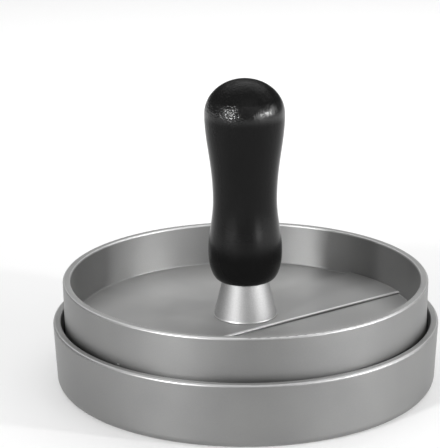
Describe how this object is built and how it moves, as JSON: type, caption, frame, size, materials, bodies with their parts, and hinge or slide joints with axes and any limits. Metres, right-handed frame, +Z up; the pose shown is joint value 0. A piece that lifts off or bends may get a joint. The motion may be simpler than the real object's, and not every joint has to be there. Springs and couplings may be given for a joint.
{
  "type": "burger press",
  "caption": "Round burger press: a shallow cast dish, and a tray-shaped press plate with a turned upright grip that slides in it and lifts off.",
  "frame": {"origin": "middle of the dish's foot, on the surface that it stands on", "axes": "+Z up along the press's axis; +X to the right and +Y away from the viewer in the pictured view"},
  "size_m": [0.12, 0.12, 0.0952],
  "materials": {
    "coated_aluminium": "cast, with a fine grey satin non-stick coat",
    "turned_aluminium": "turned, fine satin",
    "black_lacquered_wood": "turned beech under black satin lacquer",
    "brass": "machined and knurled",
    "zinc_plated_steel": "bright zinc plate"
  },
  "bodies": {
    "dish": {"base_dish": "coated_aluminium"},
    "press": {"press_plate": "coated_aluminium", "handle_ferrule": "turned_aluminium", "handle_grip": "black_lacquered_wood", "threaded_insert": "brass", "handle_screw": "zinc_plated_steel", "spring_washer": "zinc_plated_steel", "flat_washer": "zinc_plated_steel"}
  },
  "joints": [
    {"name": "press_lift", "type": "slide", "parent": "dish", "child": "press", "axis": [0, 0, 1], "range_m": [-0.0046, 0.06]}
  ]
}
